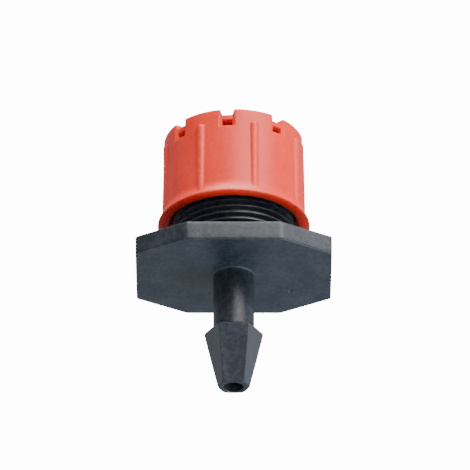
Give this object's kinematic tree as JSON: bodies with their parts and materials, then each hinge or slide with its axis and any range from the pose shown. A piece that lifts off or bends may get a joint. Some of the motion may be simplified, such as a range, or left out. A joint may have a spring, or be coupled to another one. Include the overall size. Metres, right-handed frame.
{
  "type": "drip emitter",
  "caption": "Adjustable drip emitter: a ribbed red cap screws on the threaded collar of a black base, whose flange stands over a hollow barb for the feed pipe.",
  "frame": {"origin": "on the emitter's axis, in the plane of the flange's underside", "axes": "+Z along the axis from the barb towards the cap, +X along the flange's longer direction, -Y the front"},
  "size_m": [0.0188, 0.0148, 0.0269],
  "materials": {
    "black_plastic": "satin moulded polypropylene, blue-black",
    "red_plastic": "satin moulded polypropylene, orange-red"
  },
  "bodies": {
    "base": {"barbed_base": "black_plastic"},
    "needle": {"metering_needle": "red_plastic"},
    "cap": {"flow_cap": "red_plastic"}
  },
  "joints": [
    {"name": "cap_lift", "type": "slide", "parent": "base", "child": "needle", "axis": [0, 0, 1], "range_m": [-0.00289, 0.0007]},
    {"name": "cap_turn", "type": "hinge", "parent": "needle", "child": "cap", "pos_m": [0, 0, 0.0135], "axis": [0, 0, 1], "range_deg": [-1486, 361]}
  ],
  "couplings": [
    {"joint": "cap_turn", "follows": "cap_lift", "rad_per_m": 8976}
  ]
}
